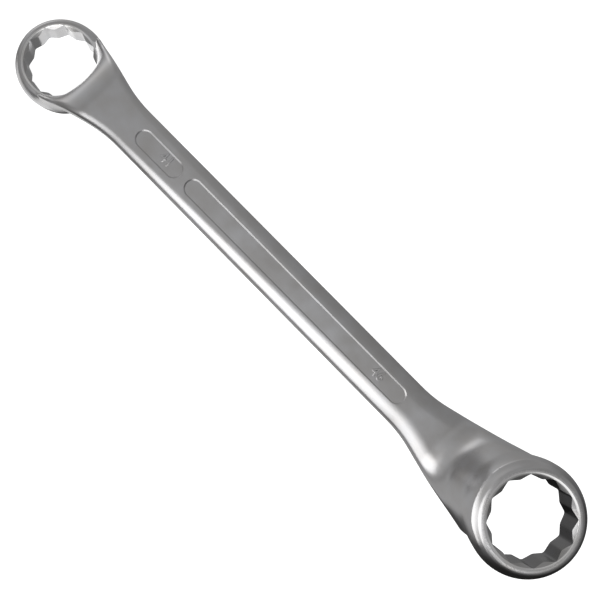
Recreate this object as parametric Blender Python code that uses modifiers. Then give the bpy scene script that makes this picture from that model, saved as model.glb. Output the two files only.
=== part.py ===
"""A deep offset double ring spanner, 46 mm at one end and 41 mm at the other, forged in one piece.

The shank lies along X with its middle plane at Z = 0. The 46 mm ring is at +X and stands above the shank,
the 41 mm ring is at -X and hangs below it, and both ring axes run along Z. The origin is halfway along the
spanner and halfway between the two outer ring faces. Lengths are in metres.
"""

import math

import bmesh
import bpy

MM = 0.001

# Shank
OVERALL_LENGTH = 458.8 * MM
SHANK_WIDTH_BIG_END = 30.1 * MM
SHANK_WIDTH_SMALL_END = 28.5 * MM
SHANK_THICKNESS = 13.8 * MM
SHANK_EDGE_REACH_BIG_END = 9.0 * MM
SHANK_EDGE_REACH_SMALL_END = 6.5 * MM
SHANK_EDGE_DROP = 4.9 * MM

# Marking panels, sunk into both broad faces
PANEL_WIDTH = 12 * MM
PANEL_DEPTH = 0.7 * MM
PANEL_FROM_BIG_RING = 89 * MM
PANEL_FROM_SMALL_RING = 76 * MM

# Ring end for 46 mm nuts. The wall and the mouth are measured from half the size across flats
BIG_ACROSS_FLATS = 46 * MM
BIG_RING_WALL = 11.8 * MM
BIG_RING_HEIGHT = 24 * MM
BIG_FACE_OFFSET = 61 * MM
BIG_MOUTH_REACH = 3.9 * MM
BIG_OUTER_RIM_WIDTH = 6.2 * MM
BIG_INNER_RIM_WIDTH = 5.8 * MM
BIG_FLANK_INSET = 1.5 * MM
BIG_FLARE_LENGTH = 76 * MM
BIG_HEEL_RADIUS = 20 * MM
BIG_THROAT_RADIUS = 18 * MM
BIG_BROACH_TURN = math.radians(1)

# Ring end for 41 mm nuts
SMALL_ACROSS_FLATS = 41 * MM
SMALL_RING_WALL = 9.5 * MM
SMALL_RING_HEIGHT = 22 * MM
SMALL_FACE_OFFSET = 61 * MM
SMALL_MOUTH_REACH = 3.5 * MM
SMALL_OUTER_RIM_WIDTH = 4.6 * MM
SMALL_INNER_RIM_WIDTH = 4.8 * MM
SMALL_FLANK_INSET = 1.2 * MM
SMALL_FLARE_LENGTH = 61 * MM
SMALL_HEEL_RADIUS = 18 * MM
SMALL_THROAT_RADIUS = 16 * MM
SMALL_BROACH_TURN = math.radians(-5)

# Sizes that both ends share
HEEL_SLOPE = math.radians(84)
THROAT_SLOPE = math.radians(77)
MOUTH_SLOPE = math.radians(28.5)
SHARP_EDGE_ANGLE = math.radians(28)
FLARE_BLEND = 10.5 * MM
HEEL_WRAP_HEIGHT = 30 * MM
NECK_TOP_DROP = 5.0 * MM
NECK_EDGE_REACH = 4.5 * MM
NECK_EDGE_DROP = 4.5 * MM
BROACH_CREST_RADIUS = 3.5 * MM
BROACH_CORNER_RADIUS = 2.0 * MM
BORE_CLEARANCE = 0.3 * MM
WALL_INSET = 0.25 * MM
OVERRUN = 2 * MM
MERGE_DISTANCE = 0.001 * MM

# Numbers of points and facets
BROACH_POINTS = 12
BROACH_ARC_STEPS = 2
RING_STEPS = 72
RIM_STEPS = 6
BEND_STEPS = 10
SLOPE_STEPS = 6
SEAT_STEPS = 3
FLARE_STEPS = 9
FLAT_STEPS = 8
EDGE_STEPS = 4
PANEL_END_STEPS = 8

# Shares of the sizes that they follow
FACET_TURN_SHARE = 0.3
EDGE_LIMIT_SHARE = 0.9
BEND_LIMIT_SHARE = 0.8
CONE_TIP_SHARE = 0.5


def steps(count):
    """Evenly spaced shares from 0 to 1, both ends included."""
    return [index / count for index in range(count + 1)]


def between(first, last, share):
    return first + (last - first) * share


def ease(share):
    """Smooth step from 0 to 1, level at both ends."""
    share = min(max(share, 0.0), 1.0)
    return share * share * (3 - 2 * share)


class Head:
    """One ring end. Its own places are given as if it pointed to +X and stood above the shank."""

    def __init__(self, side, across_flats, ring_wall, ring_height, face_offset, mouth_reach, outer_rim_width,
                 inner_rim_width, flank_inset, flare_length, heel_radius, throat_radius, broach_turn,
                 shank_width, shank_edge_reach):
        self.side = side
        self.flat_radius = across_flats / 2
        self.ring_radius = self.flat_radius + ring_wall
        self.outer_face = face_offset
        self.inner_face = face_offset - ring_height
        self.crown_height = face_offset - ring_height / 2
        self.mouth_radius = self.flat_radius + mouth_reach
        self.outer_rim_width = outer_rim_width
        self.inner_rim_width = inner_rim_width
        self.flare_length = flare_length
        self.heel_radius = heel_radius
        self.throat_radius = throat_radius
        self.broach_turn = broach_turn
        self.shank_half_width = shank_width / 2
        self.shank_edge_reach = shank_edge_reach
        self.centre_x = side * (OVERALL_LENGTH / 2 - self.ring_radius)
        self.flank_radius = self.ring_radius - flank_inset
        corner_distance = math.hypot(flare_length, self.shank_half_width)
        corner_angle = math.atan2(self.shank_half_width, flare_length)
        self.flare_angle = math.asin(self.flank_radius / corner_distance) - corner_angle

    def rim(self, share, face, rim_width):
        """Point of the ring's outside as (radius, height), from the face at 0 to the crown at 1."""
        angle = share * math.pi / 2
        return (self.ring_radius - rim_width * (1 - math.sin(angle)),
                between(self.crown_height, face, math.cos(angle)))

    def outer_radius(self, height):
        """Radius of the ring's outside at a height between its crown and its outer face."""
        rise = (height - self.crown_height) / (self.outer_face - self.crown_height)
        return self.ring_radius - self.outer_rim_width * (1 - math.sqrt(1 - rise * rise))

    def place(self, back, across, height):
        """World point from its distance back from the ring's axis, its distance across and its height."""
        return (self.centre_x - self.side * back, across, self.side * height)

    def half_width(self, back):
        """Half the outline's width seen from above: the flank's line, run softly into the shank's side."""
        tangent = (self.flank_radius - back * math.sin(self.flare_angle)) / math.cos(self.flare_angle)
        excess = tangent - self.shank_half_width
        blend = FLARE_BLEND * math.tan(self.flare_angle)
        if excess <= -blend:
            return self.shank_half_width
        if excess >= blend:
            return tangent
        return self.shank_half_width + (excess + blend) ** 2 / (4 * blend)

    def neck_point(self, back, height, across_share, wrap):
        """A point of the neck: wrap 0 is on a flat section, wrap 1 on one that goes round the ring's axis."""
        half_angle = math.asin(min(1.0, self.flank_radius / back)) - self.flare_angle
        angle = across_share * half_angle
        flat_across = across_share * self.half_width(back)
        return self.place(between(back, back * math.cos(angle), wrap),
                          between(flat_across, back * math.sin(angle), wrap), height)


BIG = Head(1, BIG_ACROSS_FLATS, BIG_RING_WALL, BIG_RING_HEIGHT, BIG_FACE_OFFSET, BIG_MOUTH_REACH,
           BIG_OUTER_RIM_WIDTH, BIG_INNER_RIM_WIDTH, BIG_FLANK_INSET, BIG_FLARE_LENGTH, BIG_HEEL_RADIUS,
           BIG_THROAT_RADIUS, BIG_BROACH_TURN, SHANK_WIDTH_BIG_END, SHANK_EDGE_REACH_BIG_END)
SMALL = Head(-1, SMALL_ACROSS_FLATS, SMALL_RING_WALL, SMALL_RING_HEIGHT, SMALL_FACE_OFFSET, SMALL_MOUTH_REACH,
             SMALL_OUTER_RIM_WIDTH, SMALL_INNER_RIM_WIDTH, SMALL_FLANK_INSET, SMALL_FLARE_LENGTH,
             SMALL_HEEL_RADIUS, SMALL_THROAT_RADIUS, SMALL_BROACH_TURN, SHANK_WIDTH_SMALL_END,
             SHANK_EDGE_REACH_SMALL_END)


def clear_scene():
    for thing in list(bpy.data.objects):
        bpy.data.objects.remove(thing)


def new_collection(name):
    collection = bpy.data.collections.new(name)
    bpy.context.scene.collection.children.link(collection)
    return collection


def add_object(name, data, collection):
    thing = bpy.data.objects.new(name, data)
    collection.objects.link(thing)
    return thing


def mark_as_helper(thing):
    thing.hide_render = True
    thing.display_type = "WIRE"


def satin_chrome():
    material = bpy.data.materials.new("satin_chrome")
    material.use_nodes = True
    shader = material.node_tree.nodes["Principled BSDF"]
    shader.inputs["Base Color"].default_value = (0.47, 0.47, 0.48, 1.0)
    shader.inputs["Metallic"].default_value = 1.0
    shader.inputs["Roughness"].default_value = 0.34
    return material


def bend_line(start_height, radius, slope, end_back, end_height):
    """Arc out of the shank's face and a straight slope up to the end point, as (back, height) pairs."""
    rise = end_height - start_height
    radius = min(radius, BEND_LIMIT_SHARE * rise / (1 - math.cos(slope)))
    arc_height = start_height + radius * (1 - math.cos(slope))
    arc_back = end_back + (end_height - arc_height) / math.tan(slope)
    start_back = arc_back + radius * math.sin(slope)
    line = []
    for share in steps(BEND_STEPS):
        angle = slope * share
        line.append((start_back - radius * math.sin(angle), start_height + radius * (1 - math.cos(angle))))
    for share in steps(SLOPE_STEPS)[1:]:
        line.append((between(arc_back, end_back, share), between(arc_height, end_height, share)))
    return line


def neck_lines(head):
    """Middle-plane lines of a neck: the heel faces the bore, the throat faces the shank's own side."""
    half_thickness = SHANK_THICKNESS / 2
    bore_back = head.mouth_radius + BORE_CLEARANCE
    seat_height = head.inner_face + WALL_INSET
    top_height = head.outer_face - NECK_TOP_DROP
    top_back = head.outer_radius(top_height) - WALL_INSET
    seat_back = top_back + (top_height - seat_height) / math.tan(THROAT_SLOPE)
    heel = bend_line(-half_thickness, head.heel_radius, HEEL_SLOPE, bore_back, seat_height)
    throat = bend_line(half_thickness, head.throat_radius, THROAT_SLOPE, seat_back, seat_height)
    for share in steps(SEAT_STEPS)[1:]:
        height = between(seat_height, top_height, share)
        heel.append((bore_back, height))
        throat.append((between(seat_back, top_back, share), height))
    return heel, throat


def section_shares(half_width, half_depth, edge_reach, edge_drop):
    """Rounded rectangle as (across, depth) shares of its half width and half depth, once round."""
    reach = min(edge_reach / half_width, EDGE_LIMIT_SHARE)
    drop = min(edge_drop / half_depth, EDGE_LIMIT_SHARE)
    flat = [(between(reach - 1, 1 - reach, share), 1.0) for share in steps(FLAT_STEPS)]
    edge = []
    for share in steps(EDGE_STEPS):
        angle = share * math.pi / 2
        edge.append((1 - reach + reach * math.sin(angle), 1 - drop + drop * math.cos(angle)))
    half = flat[:-1] + edge + [(across, -depth) for across, depth in reversed(edge[1:])]
    return half + [(-across, -depth) for across, depth in half]


def neck_sections(head):
    """Sections of one flare and its neck, from the shank to the inside of the ring's wall."""
    heel, throat = neck_lines(head)
    half_thickness = SHANK_THICKNESS / 2
    flare_start = head.flare_length + FLARE_BLEND
    flare_end = max(heel[0][0], throat[0][0])
    sections = []
    for share in steps(FLARE_STEPS)[:-1]:
        back = between(flare_start, flare_end, share)
        shares = section_shares(head.half_width(back), half_thickness, head.shank_edge_reach, SHANK_EDGE_DROP)
        sections.append([head.place(back, across * head.half_width(back), head.side * depth * half_thickness)
                         for across, depth in shares])
    for index, (low, high) in enumerate(zip(heel, throat)):
        thinning = ease(index / (BEND_STEPS + SLOPE_STEPS))
        shares = section_shares(head.half_width((low[0] + high[0]) / 2), math.dist(low, high) / 2,
                                between(head.shank_edge_reach, NECK_EDGE_REACH, thinning),
                                between(SHANK_EDGE_DROP, NECK_EDGE_DROP, thinning))
        section = []
        heel_wrap = ease((low[1] + half_thickness) / HEEL_WRAP_HEIGHT)
        for across, depth in shares:
            level = (1 + head.side * depth) / 2
            section.append(head.neck_point(between(low[0], high[0], level), between(low[1], high[1], level),
                                           across, between(heel_wrap, 1.0, level)))
        sections.append(section)
    return sections


def loft(name, sections, collection):
    """Closed solid through the sections, which all have the same number of points in the same order."""
    mesh = bpy.data.meshes.new(name)
    shape = bmesh.new()
    rings = [[shape.verts.new(point) for point in section] for section in sections]
    for first, second in zip(rings, rings[1:]):
        for index in range(len(first)):
            after = (index + 1) % len(first)
            shape.faces.new((first[index], first[after], second[after], second[index]))
    shape.faces.new(list(reversed(rings[0])))
    shape.faces.new(rings[-1])
    bmesh.ops.recalc_face_normals(shape, faces=shape.faces)
    shape.to_mesh(mesh)
    shape.free()
    return add_object(name, mesh, collection)


def turned(name, profile, head, collection):
    """Solid of revolution about a ring's axis, from (radius, height) pairs that start on the outer side."""
    points = [(radius, 0.0, head.side * height) for radius, height in profile]
    if head.side < 0:
        points.reverse()
    mesh = bpy.data.meshes.new(name)
    mesh.from_pydata(points, [(index, index + 1) for index in range(len(points) - 1)], [])
    thing = add_object(name, mesh, collection)
    thing.location = head.place(0.0, 0.0, 0.0)
    # The facets follow the bore's points, so that no edge of one lies on an edge of the other.
    thing.rotation_euler.z = head.broach_turn + FACET_TURN_SHARE * math.tau / RING_STEPS
    screw = thing.modifiers.new("Turn", "SCREW")
    screw.steps = RING_STEPS
    screw.render_steps = RING_STEPS
    screw.use_merge_vertices = True
    screw.merge_threshold = MERGE_DISTANCE
    mark_as_helper(thing)
    return thing


def ring_blank(name, head, collection):
    """Plain disc whose outside is crowned: widest halfway up, and rounded in to both faces."""
    profile = [(0.0, head.outer_face)]
    profile += [head.rim(share, head.outer_face, head.outer_rim_width) for share in steps(RIM_STEPS)]
    for share in reversed(steps(RIM_STEPS)[:-1]):
        profile.append(head.rim(share, head.inner_face, head.inner_rim_width))
    profile.append((0.0, head.inner_face))
    return turned(name, profile, head, collection)


def mouth_cutter(name, head, face, outward, collection):
    """Countersink of one face of a ring; outward is 1 on the outer face and -1 on the inner one."""
    tip_radius = head.flat_radius * CONE_TIP_SHARE
    depth = (head.mouth_radius - tip_radius) * math.tan(MOUTH_SLOPE)
    profile = [(0.0, face + outward * OVERRUN), (head.mouth_radius, face + outward * OVERRUN),
               (head.mouth_radius, face), (tip_radius, face - outward * depth), (0.0, face - outward * depth)]
    if outward < 0:
        profile.reverse()
    return turned(name, profile, head, collection)


def plate(name, outline, thickness, location, collection):
    """Flat outline, given a thickness centred on its location, as a mesh that can cut."""
    curve = bpy.data.curves.new(name, "CURVE")
    curve.dimensions = "2D"
    curve.fill_mode = "BOTH"
    curve.extrude = thickness / 2
    spline = curve.splines.new("POLY")
    spline.points.add(len(outline) - 1)
    for point, (x, y) in zip(spline.points, outline):
        point.co = (x, y, 0.0, 1.0)
    spline.use_cyclic_u = True
    drawn = add_object(name, curve, collection)
    drawn.location = location
    bpy.context.view_layer.update()
    graph = bpy.context.evaluated_depsgraph_get()
    mesh = bpy.data.meshes.new_from_object(drawn.evaluated_get(graph))
    shape = bmesh.new()
    shape.from_mesh(mesh)
    bmesh.ops.remove_doubles(shape, verts=shape.verts, dist=MERGE_DISTANCE)
    bmesh.ops.recalc_face_normals(shape, faces=shape.faces)
    shape.to_mesh(mesh)
    shape.free()
    solid = add_object(name + "_solid", mesh, collection)
    solid.matrix_world = drawn.matrix_world
    bpy.data.objects.remove(drawn)
    mark_as_helper(solid)
    return solid


def broach_outline(head):
    """Outline of a 12 point bore: two hexagons, with soft crests and corners."""
    pitch = math.tau / BROACH_POINTS
    corner_centre = (head.flat_radius - BROACH_CORNER_RADIUS) / math.cos(pitch)
    crest_centre = (head.flat_radius + BROACH_CREST_RADIUS) / math.cos(pitch / 2)
    outline = []
    for index in range(BROACH_POINTS):
        crest_angle = index * pitch + head.broach_turn
        for share in steps(BROACH_ARC_STEPS):
            normal = crest_angle + between(pitch / 2, -pitch / 2, share)
            outline.append((crest_centre * math.cos(crest_angle) - BROACH_CREST_RADIUS * math.cos(normal),
                            crest_centre * math.sin(crest_angle) - BROACH_CREST_RADIUS * math.sin(normal)))
        corner_angle = crest_angle + pitch / 2
        for share in steps(BROACH_ARC_STEPS):
            normal = corner_angle + between(-pitch, pitch, share)
            outline.append((corner_centre * math.cos(corner_angle) + BROACH_CORNER_RADIUS * math.cos(normal),
                            corner_centre * math.sin(corner_angle) + BROACH_CORNER_RADIUS * math.sin(normal)))
    return outline


def broach_cutter(name, head, collection):
    """Straight 12 point cutter that runs past both faces of a ring."""
    length = head.outer_face - head.inner_face + 2 * OVERRUN
    middle = (head.outer_face + head.inner_face) / 2
    return plate(name, broach_outline(head), length, head.place(0.0, 0.0, middle), collection)


def panel_outline():
    """Long slot with round ends, from one flare to the other."""
    radius = PANEL_WIDTH / 2
    ends = [(BIG.centre_x - PANEL_FROM_BIG_RING - radius, -math.pi / 2),
            (SMALL.centre_x + PANEL_FROM_SMALL_RING + radius, math.pi / 2)]
    outline = []
    for x, start in ends:
        for share in steps(PANEL_END_STEPS):
            angle = start + math.pi * share
            outline.append((x + radius * math.cos(angle), radius * math.sin(angle)))
    return outline


def panel_cutter(name, face, collection):
    """Cutter for the panel of the upper face (1) or the lower face (-1)."""
    middle = SHANK_THICKNESS / 2 + (OVERRUN - PANEL_DEPTH) / 2
    return plate(name, panel_outline(), PANEL_DEPTH + OVERRUN, (0.0, 0.0, face * middle), collection)


def combine(target, operation, operand):
    modifier = target.modifiers.new(operand.name, "BOOLEAN")
    modifier.operation = operation
    modifier.solver = "EXACT"
    modifier.object = operand


def ring(name, head, collection):
    """Ring with its 12 point bore, countersunk at both faces."""
    body = ring_blank(name, head, collection)
    combine(body, "DIFFERENCE", broach_cutter(name + "_broach", head, collection))
    combine(body, "DIFFERENCE", mouth_cutter(name + "_outer_mouth", head, head.outer_face, 1, collection))
    combine(body, "DIFFERENCE", mouth_cutter(name + "_inner_mouth", head, head.inner_face, -1, collection))
    return body


def forging(collection, helpers):
    """The whole spanner: shank, flares and necks in one loft, joined to both rings."""
    sections = list(reversed(neck_sections(SMALL))) + neck_sections(BIG)
    body = loft("spanner_forging", sections, collection)
    combine(body, "UNION", ring("ring_46", BIG, helpers))
    combine(body, "UNION", ring("ring_41", SMALL, helpers))
    combine(body, "DIFFERENCE", panel_cutter("upper_panel", 1, helpers))
    combine(body, "DIFFERENCE", panel_cutter("lower_panel", -1, helpers))
    body.data.materials.append(satin_chrome())
    body.data.shade_smooth()
    body.data.set_sharp_from_angle(angle=SHARP_EDGE_ANGLE)
    return body


def main():
    clear_scene()
    spanner = new_collection("ring_spanner_41_46")
    helpers = new_collection("blanks_and_cutters")
    helpers.hide_render = True
    forging(spanner, helpers)


main()
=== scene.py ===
"""A deep offset double ring spanner, 46 mm and 41 mm, drop forged in one piece, in satin chrome.

The forging's skin is drawn from a distance field that has the same sizes as the solid model: the
shank, the two cranked necks that flare to the width of their rings, and the crowned rings. The
twelve point bores, their countersunk mouths and the sunk marking panels are then cut into it.
Lengths are in metres. A distance is positive outside the metal and negative inside it.
"""

from __future__ import annotations

import logging
import math
from dataclasses import dataclass, field
from enum import Enum

import bpy
import numpy as np
from bpy.types import ID, Material, Mesh, Node, NodeTree, Object
from bpy.types import NodeSocket as Socket
from mathutils import Euler, Matrix, Vector


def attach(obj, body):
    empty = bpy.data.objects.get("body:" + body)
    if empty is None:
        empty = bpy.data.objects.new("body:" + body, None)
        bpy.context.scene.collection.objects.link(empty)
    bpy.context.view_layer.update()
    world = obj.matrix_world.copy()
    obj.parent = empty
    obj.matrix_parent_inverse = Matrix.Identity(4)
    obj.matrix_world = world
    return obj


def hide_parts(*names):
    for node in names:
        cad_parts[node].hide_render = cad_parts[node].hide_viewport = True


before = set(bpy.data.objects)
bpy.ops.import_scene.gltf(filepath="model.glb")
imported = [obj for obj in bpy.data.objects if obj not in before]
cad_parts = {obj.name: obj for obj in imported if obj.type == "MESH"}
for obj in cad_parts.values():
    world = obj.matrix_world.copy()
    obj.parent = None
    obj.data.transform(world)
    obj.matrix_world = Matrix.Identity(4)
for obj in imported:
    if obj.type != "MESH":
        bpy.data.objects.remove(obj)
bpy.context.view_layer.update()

MM = 0.001
LOG = logging.getLogger("ring_spanner")
WHITE = (1.0, 1.0, 1.0, 1.0)
Array = np.ndarray
Triple = tuple[float, float, float]
Pairs = tuple[tuple[float, float], ...]
Inputs = dict[str | int, object]


class Side(Enum):
    """The broad faces of the shank."""

    UPPER = 1
    LOWER = -1


def ease(share: Array) -> Array:
    """Smooth step from 0 to 1, level at both ends."""
    share = np.clip(share, 0.0, 1.0)
    return share * share * (3 - 2 * share)


def mix(first: Array, last: Array, share: Array) -> Array:
    """Value at this share of the way from first to last."""
    return first + (last - first) * share


def rounded_corner(depth: Array, reach: Array, drop: Array, width: Array) -> Array:
    """Joins two faces over an elliptical edge.

    Args:
        depth: Distance outside the first face.
        reach: Distance outside the second face.
        drop: How far the edge comes down from the first face.
        width: How far the edge comes in from the second face.

    Returns:
        A distance that is negative inside both faces.
    """
    down = depth / drop + 1
    across = reach / width + 1
    corner = np.hypot(np.maximum(down, 0), np.maximum(across, 0))
    return (corner + np.minimum(np.maximum(down, across), 0) - 1) * width


def soft_union(first: Array, second: Array, fillet: float) -> Array:
    """Distance to two bodies that run into each other over a fillet of this width."""
    share = np.maximum(fillet - np.abs(first - second), 0) / fillet
    return np.minimum(first, second) - share * share * fillet / 4


def half_disc(centre_x: float, radius: float, start: float, steps: int = 24) -> Pairs:
    """The edge of half a disc seen from above, from this angle half a turn on."""
    turns = [start + math.pi * step / steps for step in range(steps + 1)]
    return tuple((centre_x + radius * math.cos(turn), radius * math.sin(turn)) for turn in turns)


def linked(name: str, data: ID) -> Object:
    """Makes an object and puts it in the scene.

    Args:
        name: The object's name.
        data: Its mesh, text, light or camera.

    Returns:
        The object.
    """
    thing = bpy.data.objects.new(name, data)
    bpy.context.scene.collection.objects.link(thing)
    return thing


def plain_mesh(thing: Object, name: str) -> Mesh:
    """The evaluated object as a mesh of its own.

    Args:
        thing: An object with live modifiers, or a text.
        name: Name of the new mesh.

    Returns:
        The mesh.
    """
    bpy.context.view_layer.update()
    graph = bpy.context.evaluated_depsgraph_get()
    mesh = bpy.data.meshes.new_from_object(thing.evaluated_get(graph),
                                           preserve_all_data_layers=True, depsgraph=graph)
    mesh.name = name
    return mesh


def read_rows(items: bpy.types.bpy_prop_collection, name: str, width: int,
              kind: type = float) -> Array:
    """Reads one property of all the elements of a mesh.

    Args:
        items: The vertices, normals or edges.
        name: The property.
        width: How many numbers it has.
        kind: Type of the numbers.

    Returns:
        One row of numbers for each element.
    """
    values = np.empty(len(items) * width, kind)
    items.foreach_get(name, values)
    return values.reshape(-1, width)


class NodeGraph:
    """Adds nodes to a tree and links them in one call."""

    def __init__(self, tree: NodeTree) -> None:
        """Works on this tree."""
        self.tree = tree

    def fill(self, node: Node, inputs: Inputs) -> None:
        """Sets or links a node's inputs.

        Args:
            node: The node.
            inputs: Values, or sockets to link from, by the input's name or number.
        """
        for key, value in inputs.items():
            if isinstance(value, Socket):
                self.tree.links.new(value, node.inputs[key])
            else:
                node.inputs[key].default_value = value

    def add(self, kind: str, inputs: Inputs | None = None, **settings: object) -> Node:
        """Adds a node.

        Args:
            kind: The node's type.
            inputs: Values or sockets for its inputs, by name or number.
            **settings: The node's own properties.

        Returns:
            The node.
        """
        node = self.tree.nodes.new(kind)
        for key, value in settings.items():
            setattr(node, key, value)
        self.fill(node, inputs or {})
        return node

    def put(self, *node: object, **settings: object) -> Socket:
        """Adds a node as add does, and returns its first output."""
        return self.add(*node, **settings).outputs[0]

    def math(self, operation: str, first: object, second: object = 0.0) -> Socket:
        """One step of arithmetic."""
        return self.put("ShaderNodeMath", {0: first, 1: second}, operation=operation)

    def blend(self, first: Socket, last: Socket, share: Socket) -> Socket:
        """Number between two others."""
        return self.put("ShaderNodeMix", {"Factor": share, "A": first, "B": last},
                        data_type="FLOAT")


class SizedTree(NodeGraph):
    """A geometry node tree with a named input for each of its sizes."""

    def __init__(self, name: str, sizes: dict[str, float]) -> None:
        """Starts the tree.

        Args:
            name: The tree's name.
            sizes: The inputs and their values. A whole number becomes an integer input.
        """
        super().__init__(bpy.data.node_groups.new(name, "GeometryNodeTree"))
        sockets = self.tree.interface
        sockets.new_socket("Geometry", in_out="OUTPUT", socket_type="NodeSocketGeometry")
        self.sizes = sizes
        self.identifiers: dict[str, str] = {}
        for size, value in sizes.items():
            kind = "NodeSocketInt" if isinstance(value, int) else "NodeSocketFloat"
            item = sockets.new_socket(size, in_out="INPUT", socket_type=kind)
            item.default_value = value
            self.identifiers[size] = item.identifier
        self.entry = self.tree.nodes.new("NodeGroupInput")

    def given(self, name: str) -> Socket:
        """The socket that carries a named input."""
        return self.entry.outputs[name]

    def evaluate(self, geometry: Socket, name: str) -> Mesh:
        """Leads the result out of the tree and runs the tree with its sizes.

        Args:
            geometry: The socket that carries the result.
            name: Name of the mesh.

        Returns:
            The result as a plain mesh.
        """
        self.tree.links.new(geometry, self.tree.nodes.new("NodeGroupOutput").inputs["Geometry"])
        carrier = linked(name + "_carrier", bpy.data.meshes.new(name + "_carrier"))
        modifier = carrier.modifiers.new("Sizes", "NODES")
        modifier.node_group = self.tree
        for size, value in self.sizes.items():
            modifier[self.identifiers[size]] = value
        mesh = plain_mesh(carrier, name)
        bpy.data.objects.remove(carrier)
        return mesh


@dataclass(frozen=True)
class ChromeFinish:
    """Satin chrome on one kind of surface.

    Every number is on the shader's own socket, and noise only varies colour, roughness and height.
    """

    name: str
    colour: Triple
    roughness: float
    roughness_spread: float
    grain_size: float
    grain_height: float
    grain_squeeze: float = 1.0
    grain_detail: float = 3.0
    wave_size: float = 14 * MM
    wave_height: float = 0.045 * MM
    wave_detail: float = 1.0
    cloud_detail: float = 5.0
    cloud_shade: Triple = (0.9, 0.88, 0.85)
    cloud_range: tuple[float, float] = (0.3, 0.7)
    roughness_range: tuple[float, float] = (0.25, 0.75)
    wear_gain: float = 1.25
    wear_limit: float = 0.9

    def material(self) -> Material:
        """Builds this finish.

        Returns:
            The node material.
        """
        material = bpy.data.materials.new(self.name)
        material.use_nodes = True
        graph = NodeGraph(material.node_tree)
        place = graph.add("ShaderNodeTexCoord").outputs["Object"]
        marks = graph.put("ShaderNodeMapping", {
            "Vector": place, "Scale": (1.0, 1.0, self.grain_squeeze)})
        grain = self.noise(graph, marks, self.grain_size, self.grain_detail)
        cloud = self.noise(graph, place, self.wave_size, self.cloud_detail)
        wave = self.noise(graph, place, self.wave_size, self.wave_detail)
        graph.fill(material.node_tree.nodes["Principled BSDF"], {
            "Metallic": 1.0,
            "Base Color": self.colour_nodes(graph, cloud, grain),
            "Roughness": self.roughness_nodes(graph, cloud),
            "Normal": self.bump_nodes(graph, wave, grain)})
        return material

    @staticmethod
    def noise(graph: NodeGraph, place: Socket, size: float, detail: float) -> Socket:
        """Noise with features of this size, on a vector in metres."""
        return graph.add("ShaderNodeTexNoise", {
            "Vector": place, "Scale": 1 / size, "Detail": detail}).outputs["Fac"]

    def colour_nodes(self, graph: NodeGraph, cloud: Socket, grain: Socket) -> Socket:
        """Makes the plating a little darker and warmer in clouds, and lighter on worn edges.

        Args:
            graph: The material's graph.
            cloud: The noise of the clouds.
            grain: The fine noise that breaks up the wear.

        Returns:
            The colour.
        """
        ramp = graph.add("ShaderNodeValToRGB", {"Fac": cloud})
        shaded = tuple(value * shade for value, shade in zip(self.colour, self.cloud_shade))
        stops = zip(ramp.color_ramp.elements, self.cloud_range, (shaded, self.colour))
        for stop, position, tint in stops:
            stop.position = position
            stop.color = (*tint, 1.0)
        wear = graph.add("ShaderNodeAttribute", attribute_name=EdgeWear.attribute).outputs["Fac"]
        worn = tuple(min(value * self.wear_gain, self.wear_limit) for value in self.colour)
        return graph.add("ShaderNodeMix", {
            "Factor": graph.math("MULTIPLY", wear, grain), "A": ramp.outputs["Color"],
            "B": (*worn, 1.0)}, data_type="RGBA").outputs["Result"]

    def roughness_nodes(self, graph: NodeGraph, cloud: Socket) -> Socket:
        """Varies the roughness about its mean.

        Args:
            graph: The material's graph.
            cloud: The noise of the clouds.

        Returns:
            The roughness.
        """
        return graph.put("ShaderNodeMapRange", {
            "Value": cloud, "From Min": self.roughness_range[0],
            "From Max": self.roughness_range[1],
            "To Min": self.roughness - self.roughness_spread,
            "To Max": self.roughness + self.roughness_spread})

    def bump_nodes(self, graph: NodeGraph, wave: Socket, grain: Socket) -> Socket:
        """Gives the surface the soft waviness of a forging, and its blasted grain on top.

        Args:
            graph: The material's graph.
            wave: The noise of the waves.
            grain: The noise of the grain.

        Returns:
            The normal.
        """
        wavy = graph.put("ShaderNodeBump", {
            "Strength": 1.0, "Distance": self.wave_height, "Height": wave})
        return graph.put("ShaderNodeBump", {
            "Strength": 1.0, "Distance": self.grain_height, "Height": grain, "Normal": wavy})


@dataclass(frozen=True)
class EdgeWear:
    """Stores how exposed each point of a mesh is, from the bend of the surface over its edges.

    A bend is the angle in radians by which the normal turns over each metre.
    """

    attribute: str = "edge_wear"
    least_bend: float = 150.0
    bend_range: float = 500.0
    spreading_rounds: int = 2
    shortest_edge: float = 0.1 * MM

    def store(self, mesh: Mesh) -> None:
        """Works out the wear.

        Args:
            mesh: The mesh that gets the attribute.
        """
        count = len(mesh.vertices)
        places = read_rows(mesh.vertices, "co", 3)
        normals = read_rows(mesh.vertex_normals, "vector", 3)
        edges = read_rows(mesh.edges, "vertices", 2, np.int32)
        start, end = edges.T
        along = places[end] - places[start]
        length = np.maximum(np.linalg.norm(along, axis=1), self.shortest_edge)
        bend = ((normals[end] - normals[start]) * along).sum(1) / length ** 2
        total = np.bincount(edges.ravel(), np.repeat(bend, 2), count)
        times = np.maximum(np.bincount(edges.ravel(), minlength=count), 1)
        wear = np.clip((total / times - self.least_bend) / self.bend_range, 0, 1)
        for _ in range(self.spreading_rounds):
            near = np.bincount(start, wear[end], count) + np.bincount(end, wear[start], count)
            wear = (wear + near / times) / 2
        stored = mesh.attributes.new(self.attribute, "FLOAT", "POINT")
        stored.data.foreach_set("value", wear.astype(np.float32))


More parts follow.
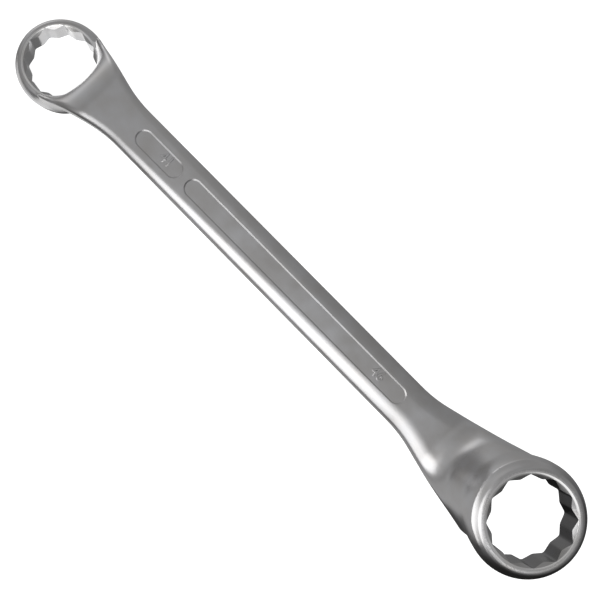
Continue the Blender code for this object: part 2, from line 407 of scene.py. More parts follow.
FORGED = ChromeFinish("satin_chrome_forged", (0.52, 0.52, 0.53), 0.33, 0.03,
                      0.5 * MM, 0.006 * MM)
TURNED = ChromeFinish("satin_chrome_turned", (0.68, 0.68, 0.69), 0.28, 0.03,
                      0.35 * MM, 0.004 * MM)
# Narrow bevels at the mouths: a much lighter colour that is a painted highlight, the thin bright
# arc round each bore.
POLISHED_PAINTED_HIGHLIGHT = ChromeFinish("satin_chrome_edge_painted_highlight", (0.86, 0.86, 0.87), 0.2, 0.02,
                        0.35 * MM, 0.002 * MM)
# Countersunk mouths: a darker colour that is painted shade for the dark mouths of the bores.
MACHINED_PAINTED_SHADE = ChromeFinish("satin_chrome_machined_painted_shade", (0.42, 0.42, 0.425), 0.3, 0.04,
                        0.35 * MM, 0.004 * MM)
# Bore walls: real broaching grain, and a very dark colour that is painted shade for the inside of
# the bores.
BROACHED_PAINTED_SHADE = ChromeFinish("satin_chrome_broached_painted_shade", (0.16, 0.16, 0.165), 0.3, 0.05,
                        0.3 * MM, 0.008 * MM, grain_squeeze=0.06)


@dataclass
class Shank:
    """The straight bar between the two flares."""

    overall_length: float = 458.8 * MM
    width_big_end: float = 30.1 * MM
    width_small_end: float = 28.5 * MM
    thickness: float = 13.8 * MM
    edge_width_big_end: float = 10.8 * MM
    edge_width_small_end: float = 4.5 * MM
    edge_drop_big_end: float = 4.9 * MM
    edge_drop_small_end: float = 3.9 * MM
    taper_from: float = -130 * MM
    taper_to: float = 110 * MM

    def share(self, x: Array) -> Array:
        """How far along the taper this place is, from 0 at the small end to 1 at the big end."""
        return np.clip((x - self.taper_from) / (self.taper_to - self.taper_from), 0, 1)

    def half_width(self, x: Array) -> Array:
        """Half the bar's width at this place along it."""
        return mix(self.width_small_end, self.width_big_end, self.share(x)) / 2

    def edge_width(self, x: Array) -> Array:
        """How far the rounded edge reaches in from the bar's side."""
        return mix(self.edge_width_small_end, self.edge_width_big_end, self.share(x))

    def edge_drop(self, x: Array) -> Array:
        """How far the rounded edge comes down from the bar's face."""
        return mix(self.edge_drop_small_end, self.edge_drop_big_end, self.share(x))


@dataclass(frozen=True)
class Bend:
    """A line seen from the side: a face of the shank, a bend and a slope up to an end point.

    Back is measured from the ring's axis, and outward is 1 if the metal is on the side of the
    bend's centre, otherwise -1.
    """

    end_back: float
    end_height: float
    start_height: float
    radius: float
    slope: float
    outward: int

    @property
    def centre(self) -> tuple[float, float]:
        """Finds the middle of the bend's arc.

        Returns:
            Its distance back and its height.
        """
        arc_height = self.start_height + self.radius * (1 - math.cos(self.slope))
        arc_back = self.end_back + (self.end_height - arc_height) / math.tan(self.slope)
        return arc_back + self.radius * math.sin(self.slope), self.start_height + self.radius

    def distance(self, back: Array, height: Array) -> Array:
        """Distance outside the line.

        Args:
            back: Distance back from the ring's axis.
            height: Height above the shank's middle.

        Returns:
            The distance.
        """
        away, down = self.centre[0] - back, self.centre[1] - height
        angle = np.arctan2(away, down)
        sloped = away * math.sin(self.slope) + down * math.cos(self.slope)
        bent = np.where(angle > self.slope, sloped, np.hypot(away, down))
        return self.outward * (np.where(angle < 0, down, bent) - self.radius)


@dataclass
class RingHead:
    """One ring end with its flare and its cranked neck, as if it stood above the shank.

    In its methods, across is measured from the spanner's middle, height from the shank's middle
    towards this ring, and back from the ring's axis towards the shank.
    """

    name: str
    side: int
    across_flats: float
    ring_wall: float
    ring_height: float
    mouth_reach: float
    outer_rim_width: float
    inner_rim_width: float
    flank_inset: float
    flare_length: float
    heel_radius: float
    throat_radius: float
    broach_turn: float
    shank: Shank
    face_offset: float = 61 * MM
    heel_slope: float = math.radians(84)
    throat_slope: float = math.radians(77)
    flare_blend: float = 10.5 * MM
    heel_wrap_height: float = 30 * MM
    neck_top_drop: float = 5.0 * MM
    side_blend: float = 6.5 * MM
    edge_width: float = 4.5 * MM
    edge_drop: float = 4.5 * MM
    wall_inset: float = 0.25 * MM
    bore_clearance: float = 0.3 * MM
    bulge_share: float = 0.8
    rim_corner: float = 1.1 * MM
    fillet: float = 4.5 * MM

    def __post_init__(self) -> None:
        """Works out the places that follow from the sizes."""
        flat_radius = self.across_flats / 2
        self.ring_radius = flat_radius + self.ring_wall
        self.mouth_radius = flat_radius + self.mouth_reach
        self.inner_face = self.face_offset - self.ring_height
        self.crown_height = self.face_offset - self.ring_height / 2
        self.centre_x = self.side * (self.shank.overall_length / 2 - self.ring_radius)
        self.flank_radius = self.ring_radius - self.flank_inset
        half = self.shank_half_width()
        corner = math.hypot(self.flare_length, half)
        self.flare_angle = (math.asin(self.flank_radius / corner)
                            - math.atan2(half, self.flare_length))
        self.neck_top = self.face_offset - self.neck_top_drop
        half_thickness = self.shank.thickness / 2
        self.heel = Bend(self.mouth_radius + self.bore_clearance,
                         self.inner_face + self.wall_inset, -half_thickness,
                         self.heel_radius, self.heel_slope, 1)
        self.throat = Bend(self.outer_radius(self.neck_top) - self.wall_inset, self.neck_top,
                           half_thickness, self.throat_radius, self.throat_slope, -1)

    def outer_radius(self, height: float) -> float:
        """Radius of the ring's outside at a height between its crown and its outer face."""
        rise = (height - self.crown_height) / (self.face_offset - self.crown_height)
        return self.ring_radius - self.outer_rim_width * (1 - math.sqrt(1 - rise * rise))

    def shank_half_width(self) -> float:
        """Half the shank's width where it meets this head's flare."""
        return (self.shank.width_big_end if self.side > 0 else self.shank.width_small_end) / 2

    def plan_distance(self, x: Array, back: Array, across: Array) -> Array:
        """Distance outside the outline seen from above: shank, flare and the round of the ring.

        Args:
            x: Place along the spanner.
            back: Distance back from the ring's axis.
            across: Distance from the spanner's middle.

        Returns:
            The distance.
        """
        sine, cosine = math.sin(self.flare_angle), math.cos(self.flare_angle)
        tangent = (self.flank_radius - back * sine) / cosine
        blend = self.flare_blend * sine / cosine
        excess = tangent - self.shank_half_width()
        eased = np.where(excess >= blend, excess,
                         (np.clip(excess + blend, 0, None)) ** 2 / (4 * blend))
        line = (across - self.shank.half_width(x) - eased) * cosine
        circle = np.hypot(back, across) - self.flank_radius
        return np.where(back * cosine - across * sine > 0, line, circle)

    def ring_distance(self, radius: Array, height: Array) -> Array:
        """Distance outside the ring blank: a wide arc over the crown, a tight one at each face.

        Args:
            radius: Distance from the ring's axis.
            height: Height above the shank's middle.

        Returns:
            The distance.
        """
        rise, half_height = np.abs(height - self.crown_height), self.ring_height / 2
        rim = np.where(height > self.crown_height, self.outer_rim_width, self.inner_rim_width)
        inset = self.bulge_share * rim
        arc = (half_height ** 2 + inset ** 2) / (2 * inset)
        side = np.hypot(radius - self.ring_radius + arc, rise) - arc
        return rounded_corner(rise - half_height, side, self.rim_corner, self.rim_corner)

    def neck_distance(self, x: Array, across: Array, height: Array) -> Array:
        """Distance outside this head's half of the shank, its flare and its neck.

        Args:
            x: Place along the spanner.
            across: Distance from the spanner's middle.
            height: Height above the shank's middle.

        Returns:
            The distance.
        """
        back = -self.side * (x - self.centre_x)
        radius = np.hypot(back, across)
        wrap = ease((height + self.shank.thickness / 2) / self.heel_wrap_height)
        start = (self.heel.centre[0] + self.throat.centre[0]) / 2
        thinning = ease((start - radius) / (start - self.ring_radius))
        faces = np.maximum(self.heel.distance(mix(back, radius, wrap), height),
                           self.throat.distance(radius, height))
        body = rounded_corner(faces, self.plan_distance(x, back, across),
                              mix(self.shank.edge_drop(x), self.edge_drop, thinning),
                              mix(self.shank.edge_width(x), self.edge_width, thinning))
        top = height - self.neck_top
        sides = across * math.sin(self.flare_angle) - back * math.cos(self.flare_angle)
        return rounded_corner(np.maximum(body, top), sides, self.side_blend, self.side_blend)

    def distance(self, x: Array, across: Array, height: Array) -> Array:
        """Distance outside this head with its half of the shank."""
        ring = self.ring_distance(np.hypot(x - self.centre_x, across), height)
        return soft_union(ring, self.neck_distance(x, across, height), self.fillet)


@dataclass
class Forging:
    """The one solid piece: both heads and the shank, as a mesh drawn from their distance field."""

    heads: tuple[RingHead, RingHead]
    shank: Shank
    fine_step: float = 0.8 * MM
    long_step: float = 2.4 * MM
    margin: float = 2.0 * MM
    slabs: int = 24
    smoothing_rounds: int = 3
    smoothing_share: float = 0.5
    landing_rounds: int = 4
    probe: float = 0.02 * MM
    least_slope: float = 0.05

    def distance(self, x: Array, y: Array, z: Array) -> Array:
        """Distance outside the blank, at points given in the part's own frame."""
        big, small = (head.distance(x, np.abs(y), head.side * z) for head in self.heads)
        return np.where(x > 0, big, small)

    def grid(self) -> tuple[Array, Array, Array]:
        """Lays out the sampling grid, close at the heads and wide along the plain shank.

        Returns:
            The grid's lines in x, y and z.
        """
        big, small = self.heads
        half_length = self.shank.overall_length / 2 + self.margin
        wide = big.ring_radius + self.margin
        high = big.face_offset + self.margin
        big_start = big.centre_x - big.flare_length - 2 * big.flare_blend
        small_start = small.centre_x + small.flare_length + 2 * small.flare_blend
        xs = np.concatenate([
            self.lines(-half_length, small_start, self.fine_step)[:-1],
            self.lines(small_start, big_start, self.long_step)[:-1],
            self.lines(big_start, half_length, self.fine_step)])
        return xs, self.lines(-wide, wide, self.fine_step), self.lines(-high, high, self.fine_step)

    @staticmethod
    def lines(first: float, last: float, step: float) -> Array:
        """Evenly spaced grid lines, about one step apart."""
        return np.linspace(first, last, max(2, round((last - first) / step) + 1))

    def skin(self) -> tuple[Array, Array]:
        """Draws the surface: one point in each cell that it crosses, a face over each such edge.

        Returns:
            The points and the four-cornered faces.
        """
        lines = xs, ys, zs = self.grid()
        values = np.concatenate([self.distance(slab[:, None, None], ys[:, None], zs)
                                 for slab in np.array_split(xs, self.slabs)])
        inside = values < 0
        cells = tuple(size - 1 for size in values.shape)
        count = np.zeros(cells, np.int8)
        corners = [(i, j, k) for i in (0, 1) for j in (0, 1) for k in (0, 1)]
        for i, j, k in corners:
            count += inside[i:i + cells[0], j:j + cells[1], k:k + cells[2]]
        active = np.argwhere((count > 0) & (count < len(corners)))
        number = np.full(cells, -1, np.int64)
        number[tuple(active.T)] = np.arange(len(active))
        points = self.cell_points(active, values, lines, corners)
        return points, self.crossed_faces(inside, number)

    @staticmethod
    def cell_points(active: Array, values: Array, lines: tuple[Array, ...],
                    corners: list[tuple[int, int, int]]) -> Array:
        """Mean of the places where the surface crosses the edges of each active cell.

        Args:
            active: Grid position of each cell.
            values: The field on the grid.
            lines: The grid's lines.
            corners: Steps from a cell's position to its corners.

        Returns:
            One point for each cell.
        """
        total = np.zeros((len(active), 3))
        hits = np.zeros(len(active))
        edges = [(first, axis) for first in corners for axis in range(3) if not first[axis]]
        for first, axis in edges:
            second = tuple(1 if index == axis else corner for index, corner in enumerate(first))
            start, end = active + first, active + second
            low, high = values[tuple(start.T)], values[tuple(end.T)]
            crossed = (low < 0) != (high < 0)
            share = np.where(crossed, low / np.where(crossed, low - high, 1), 0)
            for index, line in enumerate(lines):
                place = mix(line[start[:, index]], line[end[:, index]], share)
                total[:, index] += np.where(crossed, place, 0)
            hits += crossed
        return total / hits[:, None]

    @staticmethod
    def crossed_faces(inside: Array, number: Array) -> Array:
        """Makes one face round each grid edge that the surface crosses, turned outwards.

        Args:
            inside: Which grid points lie in the metal.
            number: The point's number in each cell.

        Returns:
            The faces.
        """
        faces = []
        for axis in range(3):
            near = np.take(inside, range(0, inside.shape[axis] - 1), axis)
            far = np.take(inside, range(1, inside.shape[axis]), axis)
            second, third = (axis + 1) % 3, (axis + 2) % 3
            for start, flip in ((near & ~far, False), (far & ~near, True)):
                edges = np.argwhere(start)
                around = []
                for step_second, step_third in ((-1, -1), (0, -1), (0, 0), (-1, 0)):
                    cell = edges.copy()
                    cell[:, second] += step_second
                    cell[:, third] += step_third
                    around.append(number[tuple(cell.T)])
                quad = np.stack(around, 1)
                faces.append(quad[:, ::-1] if flip else quad)
        return np.concatenate(faces)

    def settle(self, points: Array, faces: Array) -> Array:
        """Evens the points out along the surface and puts them exactly on it.

        Args:
            points: The points.
            faces: The faces that join them.

        Returns:
            The moved points.
        """
        edges = np.concatenate([faces[:, [corner, (corner + 1) % 4]] for corner in range(4)])
        degree = np.bincount(edges[:, 0], minlength=len(points))[:, None]
        points = self.project(points)
        for _ in range(self.smoothing_rounds):
            total = np.stack([np.bincount(edges[:, 0], points[edges[:, 1], index], len(points))
                              for index in range(3)], 1)
            points = self.project(mix(points, total / degree, self.smoothing_share))
        return points

    def project(self, points: Array) -> Array:
        """Moves points down the field's slope onto the surface.

        Args:
            points: The points.

        Returns:
            The moved points.
        """
        reach = self.fine_step / 2
        for _ in range(self.landing_rounds):
            slope = np.stack([
                (self.distance(*(points + step).T) - self.distance(*(points - step).T))
                / (2 * self.probe) for step in np.eye(3) * self.probe], 1)
            steepness = np.maximum((slope ** 2).sum(1), self.least_slope)
            move = (self.distance(*points.T) / steepness)[:, None] * slope
            points = points - np.clip(move, -reach, reach)
        return points

    def build(self, name: str) -> Object:
        """Makes the closed blank.

        Args:
            name: Name of the piece.

        Returns:
            The piece.
        """
        points, faces = self.skin()
        mesh = bpy.data.meshes.new(name)
        mesh.from_pydata(self.settle(points, faces).tolist(), [], faces.tolist())
        mesh.update()
        return linked(name, mesh)


@dataclass
class TwelvePointBore:
    """The cutter of one ring: a broach, and at each face a countersink with a narrow bevel."""

    head: RingHead
    wall: Material
    mouth: Material
    edge: Material
    points: int = 12
    crest_radius: float = 3.5 * MM
    corner_radius: float = 2.0 * MM
    mouth_slope: float = math.radians(28.5)
    edge_slope: float = math.radians(16)
    edge_width: float = 0.6 * MM
    overrun: float = 2 * MM
    tip_share: float = 0.5
    wall_lean: float = 0.1
    weld: float = 0.001 * MM
    arc_steps: int = 5
    mouth_steps: int = 144

    def sizes(self) -> dict[str, float]:
        """Lists the sizes that the tree takes.

        Returns:
            The values by the names of the tree's inputs.
        """
        head = self.head
        flat = head.across_flats / 2
        return {"Points": self.points, "Flat Radius": flat, "Crest Radius": self.crest_radius,
                "Corner Radius": self.corner_radius,
                "Length": head.ring_height + 2 * self.overrun, "Turn": head.broach_turn,
                "Mouth Radius": head.mouth_radius, "Tip Radius": flat * self.tip_share,
                "Edge Radius": head.mouth_radius + self.edge_width, "Overrun": self.overrun}

    def outline(self, made: SizedTree) -> Socket:
        """Draws the broach's outline, a star with rounded points and crests.

        Args:
            made: The tree.

        Returns:
            The curve.
        """
        pitch = made.math("DIVIDE", math.tau, made.given("Points"))
        flat = made.given("Flat Radius")
        corner = made.math("DIVIDE", flat, made.math("COSINE", pitch))
        crest = made.math("DIVIDE", flat, made.math("COSINE", made.math("DIVIDE", pitch, 2.0)))
        star = made.put("GeometryNodeMeshCircle", {
            "Vertices": made.math("MULTIPLY", made.given("Points"), 2.0), "Radius": 1.0})
        is_crest = made.math("MODULO", made.put("GeometryNodeInputIndex"), 2.0)
        spot = made.put("GeometryNodeInputPosition")
        moved = made.put("ShaderNodeVectorMath", {
            0: spot, "Scale": made.blend(corner, crest, is_crest)}, operation="SCALE")
        placed = made.put("GeometryNodeSetPosition", {"Geometry": star, "Position": moved})
        distance = made.add("ShaderNodeVectorMath", {0: spot}, operation="LENGTH")
        middle = made.math("DIVIDE", made.math("ADD", corner, crest), 2.0)
        is_corner = made.math("GREATER_THAN", distance.outputs["Value"], middle)
        radius = made.blend(made.given("Crest Radius"), made.given("Corner Radius"), is_corner)
        return made.put("GeometryNodeFilletCurve", {
            "Curve": made.put("GeometryNodeMeshToCurve", {"Mesh": placed}),
            "Count": self.arc_steps, "Radius": radius}, mode="POLY")

    def broach(self, made: SizedTree, half: Socket) -> Socket:
        """Draws the outline out to a closed prism and turns it to its place.

        Args:
            made: The tree.
            half: Half the prism's length.

        Returns:
            The prism.
        """
        floor = made.put("GeometryNodeFillCurve", {"Curve": self.outline(made)}, mode="NGONS")
        up = made.put("ShaderNodeCombineXYZ", {"Z": made.given("Length")})
        raised = made.put("GeometryNodeExtrudeMesh", {
            "Mesh": floor, "Offset": up, "Individual": False}, mode="FACES")
        both = made.add("GeometryNodeJoinGeometry")
        for part in (made.put("GeometryNodeFlipFaces", {"Mesh": floor}), raised):
            made.tree.links.new(part, both.inputs[0])
        prism = made.put("GeometryNodeMergeByDistance", {
            "Geometry": both.outputs[0], "Distance": self.weld})
        pitch = made.math("DIVIDE", math.tau, made.given("Points"))
        turn = made.math("ADD", made.given("Turn"), made.math("DIVIDE", pitch, 2.0))
        down = made.put("ShaderNodeCombineXYZ", {"Z": made.math("MULTIPLY", half, -1.0)})
        return made.put("GeometryNodeTransform", {
            "Geometry": prism, "Translation": down,
            "Rotation": made.put("ShaderNodeCombineXYZ", {"Z": turn})})

    def cone(self, made: SizedTree, half: Socket, up_down: float, wide: Socket,
             slope: float) -> Socket:
        """Countersink of one face, running wider past the face.

        Args:
            made: The tree.
            half: Half the ring's height.
            up_down: 1 for the upper face and -1 for the lower one.
            wide: Radius on the face.
            slope: How steeply the cone falls away from the face.

        Returns:
            The cone.
        """
        rise = math.tan(slope)
        tip = made.given("Tip Radius")
        spread = made.math("DIVIDE", made.given("Overrun"), rise)
        sunk = made.math("MULTIPLY", made.math("SUBTRACT", wide, tip), rise)
        shape = made.put("GeometryNodeMeshCone", {
            "Vertices": self.mouth_steps, "Radius Top": made.math("ADD", wide, spread),
            "Radius Bottom": tip, "Depth": made.math("ADD", sunk, made.given("Overrun"))},
            fill_type="NGON")
        start = made.math("MULTIPLY", made.math("SUBTRACT", half, sunk), up_down)
        return made.put("GeometryNodeTransform", {
            "Geometry": shape, "Translation": made.put("ShaderNodeCombineXYZ", {"Z": start}),
            "Rotation": (0.0 if up_down > 0 else math.pi, 0.0, 0.0)})

    def dressed(self, made: SizedTree, geometry: Socket) -> Socket:
        """Gives walls, countersinks and bevels their materials by how far they lean: painted shade
        on the walls and countersinks, a painted highlight on the bevels.

        Args:
            made: The tree.
            geometry: The joined cutter.

        Returns:
            The cutter with its materials.
        """
        upright = made.add("ShaderNodeSeparateXYZ", {0: made.put("GeometryNodeInputNormal")})
        lean = made.math("ABSOLUTE", upright.outputs["Z"])
        between = (math.cos(self.edge_slope) + math.cos(self.mouth_slope)) / 2
        geometry = made.put("GeometryNodeSetMaterial", {
            "Geometry": made.put("GeometryNodeRealizeInstances", {"Geometry": geometry}),
            "Material": self.mouth})
        for test, level, material in (("LESS_THAN", self.wall_lean, self.wall),
                                      ("GREATER_THAN", between, self.edge)):
            geometry = made.put("GeometryNodeSetMaterial", {
                "Geometry": geometry, "Selection": made.math(test, lean, level),
                "Material": material})
        return geometry

    def build(self) -> Object:
        """Joins the broach and the cones.

        Returns:
            The cutter as a plain mesh object in its place.
        """
        head = self.head
        made = SizedTree("twelve_point_bore", self.sizes())
        half = made.math("DIVIDE", made.given("Length"), 2.0)
        cutter = made.add("GeometryNodeMeshBoolean", operation="UNION", solver="EXACT")
        parts = [self.broach(made, half)]
        face = made.math("SUBTRACT", half, made.given("Overrun"))
        for up_down in (1.0, -1.0):
            for wide, slope in (("Mouth Radius", self.mouth_slope),
                                ("Edge Radius", self.edge_slope)):
                parts.append(self.cone(made, face, up_down, made.given(wide), slope))
        for part in parts:
            made.tree.links.new(part, cutter.inputs["Mesh 2"])
        mesh = made.evaluate(self.dressed(made, cutter.outputs[0]), head.name + "_bore")
        middle = head.side * (head.face_offset - head.ring_height / 2)
        mesh.transform(Matrix.Translation((head.centre_x, 0.0, middle)))
        return linked(mesh.name, mesh)


@dataclass
class MarkingPanel:
    """Sunk panel with round ends on one broad face of the shank."""

    name: str
    side: Side
    shank: Shank
    start: float
    end: float
    width: float = 12 * MM
    depth: float = 0.7 * MM
    wall_width: float = 0.9 * MM
    overrun: float = 2 * MM

    def outline(self, spread: float) -> Pairs:
        """Draws the panel's outline, grown by a distance.

        Args:
            spread: The distance, which is negative where the outline shrinks.

        Returns:
            The outline's points.
        """
        radius, grown = self.width / 2, self.width / 2 + spread
        return (half_disc(self.end - radius, grown, -math.pi / 2)
                + half_disc(self.start + radius, grown, math.pi / 2))

    def build(self, material: Material) -> Object:
        """Makes the cutter, with walls that slope outwards from the panel's floor.

        Args:
            material: Finish of the floor and the walls.

        Returns:
            The cutter.
        """
        top = self.shank.thickness / 2
        rise = self.wall_width / self.depth
        floor, cap = self.outline(-self.wall_width), self.outline(self.overrun * rise)
        points = [(x, y, self.side.value * (top - self.depth)) for x, y in floor]
        points += [(x, y, self.side.value * (top + self.overrun)) for x, y in cap]
        count = len(floor)
        faces = [tuple(reversed(range(count))), tuple(range(count, 2 * count))]
        faces += [(index, (index + 1) % count, (index + 1) % count + count, index + count)
                  for index in range(count)]
        if self.side is Side.LOWER:
            faces = [tuple(reversed(face)) for face in faces]
        mesh = bpy.data.meshes.new(self.name)
        mesh.from_pydata(points, [], faces)
        mesh.materials.append(material)
        return linked(mesh.name, mesh)


@dataclass
class SizeNumerals:
    """The nut size in raised numerals on the floor of an upper panel."""

    words: str
    centre_x: float
    panel: MarkingPanel
    across: float = 0.6 * MM
    height: float = 6.3 * MM
    type_size: float = 1.45
    relief: float = 0.6 * MM
    edge: float = 0.2 * MM
    sink: float = 0.1 * MM
    edge_steps: int = 1
    curve_steps: int = 6

    def build(self, material: Material) -> Object:
        """Makes the numerals, which read along the shank.

        Args:
            material: Their finish.

        Returns:
            The numerals as one mesh object.
        """
        text = bpy.data.curves.new("numerals", "FONT")
        text.body = self.words
        text.align_x = text.align_y = "CENTER"
        text.size = self.height * self.type_size
        text.extrude = (self.relief + self.sink) / 2 - self.edge
        text.bevel_depth = self.edge
        text.bevel_resolution = self.edge_steps
        text.resolution_u = self.curve_steps
        drawn = linked("numerals", text)
        mesh = plain_mesh(drawn, "numerals_" + self.words)
        bpy.data.objects.remove(drawn)
        floor = self.panel.shank.thickness / 2 - self.panel.depth
        middle = floor + (self.relief - self.sink) / 2
        mesh.transform(Matrix.Translation((self.centre_x, self.across, middle)))
        mesh.materials.clear()
        mesh.materials.append(material)
        return linked(mesh.name, mesh)


@dataclass
class Spanner:
    """The whole spanner: the bored and dressed forging with its numerals."""

    shank: Shank = field(default_factory=Shank)
    sharp_angle: float = math.radians(32)
    panel_from_big_ring: float = 89 * MM
    panel_from_small_ring: float = 76 * MM
    land_start: float = -87 * MM
    land_end: float = -82 * MM
    numerals_46: float = 82.5 * MM
    numerals_41: float = -99.8 * MM
    face_tolerance: float = 0.05 * MM
    face_tilt: float = math.radians(8)

    def heads(self) -> tuple[RingHead, RingHead]:
        """Gives both ends their sizes.

        Returns:
            The 46 mm end and the 41 mm end.
        """
        big = RingHead(
            "ring_46", 1, across_flats=46 * MM, ring_wall=11.8 * MM, ring_height=24 * MM,
            mouth_reach=3.9 * MM, outer_rim_width=6.2 * MM, inner_rim_width=5.8 * MM,
            flank_inset=1.5 * MM, flare_length=76 * MM, heel_radius=20 * MM,
            throat_radius=18 * MM, broach_turn=math.radians(1), shank=self.shank)
        small = RingHead(
            "ring_41", -1, across_flats=41 * MM, ring_wall=9.5 * MM, ring_height=22 * MM,
            mouth_reach=3.5 * MM, outer_rim_width=4.6 * MM, inner_rim_width=4.8 * MM,
            flank_inset=1.2 * MM, flare_length=61 * MM, heel_radius=18 * MM,
            throat_radius=16 * MM, broach_turn=math.radians(-5), shank=self.shank,
            edge_width=3.0 * MM, edge_drop=3.4 * MM)
        return big, small

    def panels(self, big: RingHead, small: RingHead) -> list[MarkingPanel]:
        """Places the panels: two above, with a land between them, and a long one below.

        Args:
            big: The 46 mm end.
            small: The 41 mm end.

        Returns:
            The panel of the 41, the panel of the 46 and the lower one.
        """
        start = small.centre_x + self.panel_from_small_ring
        end = big.centre_x - self.panel_from_big_ring
        return [MarkingPanel("panel_41", Side.UPPER, self.shank, start, self.land_start),
                MarkingPanel("panel_46", Side.UPPER, self.shank, self.land_end, end),
                MarkingPanel("panel_lower", Side.LOWER, self.shank, start, end)]

    def build(self) -> list[Object]:
        """Builds every piece.

        Returns:
            The forging and the two pairs of numerals.
        """
        forged, mouth, wall, edge = (finish.material()
                                     for finish in (FORGED, MACHINED_PAINTED_SHADE, BROACHED_PAINTED_SHADE, POLISHED_PAINTED_HIGHLIGHT))
        heads = self.heads()
        panels = self.panels(*heads)
        forging = Forging(heads, self.shank).build("satin_forging")
        forging.data.materials.append(forged)
        cutters = [TwelvePointBore(head, wall, mouth, edge).build() for head in heads]
        self.cut(forging, cutters + [panel.build(forged) for panel in panels])
        mesh = forging.data
        EdgeWear().store(mesh)
        mesh.shade_smooth()
        mesh.set_sharp_from_angle(angle=self.sharp_angle)
        self.turn_faces(mesh, heads[0].face_offset, TURNED.material())
        LOG.info("%s: %d faces", forging.name, len(mesh.polygons))
        numerals = [SizeNumerals("46", self.numerals_46, panels[1]).build(forged),
                    SizeNumerals("41", self.numerals_41, panels[0]).build(forged)]
        return [forging, *numerals]

    @staticmethod
    def cut(piece: Object, cutters: list[Object]) -> None:
        """Cuts a piece and makes the result its mesh.

        Args:
            piece: The piece.
            cutters: The bodies to cut away, which are removed afterwards.
        """
        for cutter in cutters:
            modifier = piece.modifiers.new(cutter.name, "BOOLEAN")
            modifier.operation = "DIFFERENCE"
            modifier.solver = "EXACT"
            modifier.material_mode = "TRANSFER"
            modifier.object = cutter
        mesh = plain_mesh(piece, piece.name)
        piece.modifiers.clear()
        piece.data = mesh
        for cutter in cutters:
            bpy.data.objects.remove(cutter)

    def turn_faces(self, mesh: Mesh, face_offset: float, turned: Material) -> None:
        """Gives the flat outer faces of both rings their turned finish.

        Args:
            mesh: The forging's mesh.
            face_offset: Height of the outer faces from the shank's middle.
            turned: The finish.
        """
        mesh.materials.append(turned)
        level = face_offset - self.face_tolerance
        for polygon in mesh.polygons:
            if (abs(polygon.center.z) > level
                    and abs(polygon.normal.z) > math.cos(self.face_tilt)):
                polygon.material_index = len(mesh.materials) - 1


@dataclass(frozen=True)
class Span:
    """Goes from 0 to a level while a value goes from start to end."""

    start: float
    end: float
    level: float = 1.0


@dataclass(frozen=True)
class Glow:
    """A round soft light in one direction, over a span of the cosine of the angle to it."""

    place: Triple
    span: Span


@dataclass(frozen=True)
class FlatGlow:
    """A flat matt sheet that shines evenly by itself."""

    name: str
    outline: Pairs
    level: float
    base: float = 0.0
    roughness: float = 0.9

    def build(self, height: float) -> Object:
        """Lays the sheet down.

        Args:
            height: Its height.

        Returns:
            The sheet.
        """
        mesh = bpy.data.meshes.new(self.name)
        mesh.from_pydata([(x, y, height) for x, y in self.outline], [],
                         [tuple(range(len(self.outline)))])
        material = bpy.data.materials.new(self.name)
        material.use_nodes = True
        NodeGraph(material.node_tree).fill(material.node_tree.nodes["Principled BSDF"], {
            "Base Color": (self.base, self.base, self.base, 1.0), "Roughness": self.roughness,
            "Specular IOR Level": 0.0, "Emission Color": WHITE, "Emission Strength": self.level})
        mesh.materials.append(material)
        sheet = linked(self.name, mesh)
        return sheet


def rectangle(left: float, right: float, near: float, far: float) -> Pairs:
    """The corners of a rectangle on the floor."""
    return (left, near), (right, near), (right, far), (left, far)


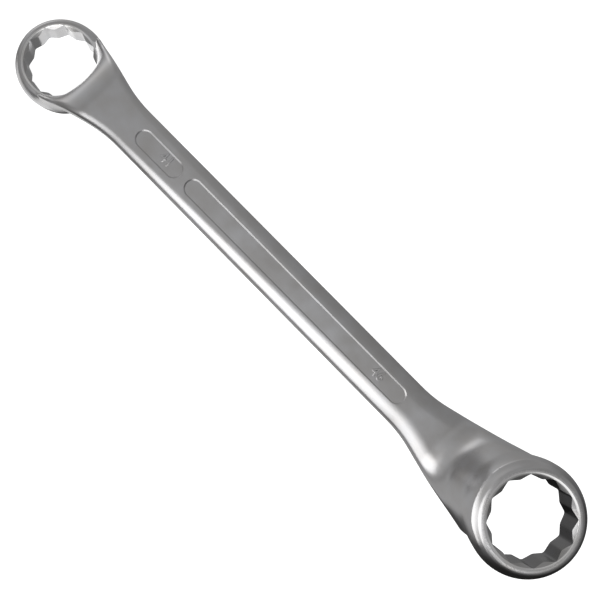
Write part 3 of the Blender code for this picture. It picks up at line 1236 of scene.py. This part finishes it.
@dataclass
class Studio:
    """Pale floor, soft light and the camera.

    The levels of the sky and the ground run along x, from -1 to 1 in the direction's own x. The
    cards lie on the floor, shine a little and are seen only in reflections.
    """

    floor_height: float = -61 * MM
    floor_size: float = 12.0
    floor_base: float = 0.6
    floor_level: float = 0.97
    camera_place: Triple = (-5.763 * MM, -47.592 * MM, 612.12 * MM)
    camera_turn: Triple = (1.5478, -4.6035, 45.1984)
    lens: float = 60.13
    sensor_width: float = 36.0
    clip_start: float = 10 * MM
    sky_near: Pairs = ((-1.0, 0.4), (-0.6, 0.36), (-0.2, 0.5), (0.0, 0.35), (0.15, 0.22),
                        (0.35, 0.05))
    sky_far: Pairs = ((-1.0, 0.6), (-0.8, 0.5), (-0.6, 0.42), (-0.4, 0.38), (-0.2, 0.52),
                       (-0.05, 0.35), (0.1, 0.31), (0.25, 0.35), (0.4, 0.42), (0.7, 0.24),
                       (1.0, 0.12))
    sky_side: Span = Span(-0.5, -0.15)
    ground_near: Pairs = ((-1.0, 0.3), (-0.3, 0.25), (0.0, 0.1), (0.2, 0.01))
    ground_far: Pairs = ((-1.0, 0.8), (-0.7, 0.6), (-0.4, 0.45), (0.0, 0.36), (0.4, 0.18),
                          (0.7, 0.05))
    ground_side: Span = Span(-0.25, 0.25)
    horizon: Span = Span(-0.15, 0.15)
    glows: tuple[Glow, ...] = (Glow((-0.93, 0.3, -0.2), Span(0.93, 1.0, 0.6)),
                               Glow((0.3, -0.35, 0.88), Span(0.92, 1.0)))
    cards: tuple[FlatGlow, ...] = (
        FlatGlow("under_bore_far", half_disc(-199.4 * MM, 25 * MM, 0.0), 2.1),
        FlatGlow("under_bore_near", half_disc(-199.4 * MM, 25 * MM, math.pi), 0.5),
        FlatGlow("by_small_ring", rectangle(-260 * MM, -120 * MM, -52 * MM, -31 * MM), 1.1),
        FlatGlow("by_shank", rectangle(-120 * MM, 165 * MM, -400 * MM, -40 * MM), 0.55))
    card_lift: float = 0.1 * MM
    softbox_place: Triple = (0.005, -0.197, 0.226)
    softbox_width: float = 0.35
    softbox_height: float = 0.3
    softbox_power: float = 0.68

    def build(self) -> None:
        """Makes the whole stage."""
        half = self.floor_size / 2
        ground = rectangle(-half, half, -half, half)
        floor = FlatGlow("floor", ground, self.floor_level, self.floor_base)
        floor.build(self.floor_height).visible_glossy = False
        for card in self.cards:
            sheet = card.build(self.floor_height + self.card_lift)
            sheet.visible_camera = sheet.visible_diffuse = sheet.visible_shadow = False
        self.world()
        self.softbox()
        self.camera()

    def world(self) -> None:
        """Light from all round: a grey sky, a ground that darkens to one side, and glows."""
        world = bpy.data.worlds.new("studio")
        world.use_nodes = True
        graph = NodeGraph(world.node_tree)
        place = graph.add("ShaderNodeTexCoord").outputs["Generated"]
        x, y, z = graph.add("ShaderNodeSeparateXYZ", {0: place}).outputs
        halves = ((self.ground_near, self.ground_far, self.ground_side),
                  (self.sky_near, self.sky_far, self.sky_side))
        ground, sky = (graph.blend(self.ramp(graph, near, x), self.ramp(graph, far, x),
                                   self.span(graph, side, y)) for near, far, side in halves)
        room = graph.blend(ground, sky, self.span(graph, self.horizon, z))
        for glow in self.glows:
            toward = graph.add("ShaderNodeVectorMath", {
                0: place, 1: Vector(glow.place).normalized()}, operation="DOT_PRODUCT")
            glare = self.span(graph, glow.span, toward.outputs["Value"])
            room = graph.math("ADD", room, glare)
        graph.fill(world.node_tree.nodes["Background"], {"Color": WHITE, "Strength": room})
        bpy.context.scene.world = world

    @staticmethod
    def ramp(graph: NodeGraph, levels: Pairs, value: Socket) -> Socket:
        """Maps a direction's component over a row of levels.

        Args:
            graph: The world's graph.
            levels: Pairs of component and level.
            value: The component, from -1 to 1.

        Returns:
            The level.
        """
        share = graph.put("ShaderNodeMapRange", {"Value": value, "From Min": -1.0})
        node = graph.add("ShaderNodeValToRGB", {"Fac": share})
        node.color_ramp.interpolation = "EASE"
        stops = node.color_ramp.elements
        while len(stops) < len(levels):
            stops.new(1.0)
        for stop, (start, level) in zip(stops, levels):
            stop.position = (start + 1) / 2
            stop.color = (level, level, level, 1.0)
        return node.outputs["Color"]

    @staticmethod
    def span(graph: NodeGraph, span: Span, value: Socket) -> Socket:
        """Maps a value smoothly over a span.

        Args:
            graph: The world's graph.
            span: The span.
            value: The value.

        Returns:
            The level that the value gives.
        """
        return graph.put("ShaderNodeMapRange", {
            "Value": value, "From Min": span.start, "From Max": span.end,
            "To Max": span.level}, interpolation_type="SMOOTHSTEP")

    def softbox(self) -> None:
        """Hangs up the light at the left, which faces the spanner's middle."""
        lamp = bpy.data.lights.new("softbox_left", "AREA")
        lamp.shape = "RECTANGLE"
        lamp.size, lamp.size_y = self.softbox_width, self.softbox_height
        lamp.energy = self.softbox_power
        light = linked("softbox_left", lamp)
        light.location = self.softbox_place
        light.rotation_euler = (-light.location).to_track_quat("-Z", "Y").to_euler()
        light.visible_camera = False

    def camera(self) -> None:
        """Puts the camera above the spanner, as in the photograph."""
        camera = bpy.data.cameras.new("camera")
        camera.lens = self.lens
        camera.sensor_width = self.sensor_width
        camera.clip_start = self.clip_start
        thing = linked("camera", camera)
        thing.location = self.camera_place
        thing.rotation_euler = Euler([math.radians(angle) for angle in self.camera_turn])
        bpy.context.scene.camera = thing


def main() -> None:
    """Builds the spanner and its stage."""
    logging.basicConfig(level=logging.INFO, format="%(name)s %(message)s")
    pieces = Spanner().build()
    for piece in pieces:
        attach(piece, "root")
        LOG.info("piece %s rides on root", piece.name)
    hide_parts("spanner_forging")
    Studio().build()
    bpy.context.scene.view_settings.view_transform = "Standard"


if __name__ == "__main__":
    main()
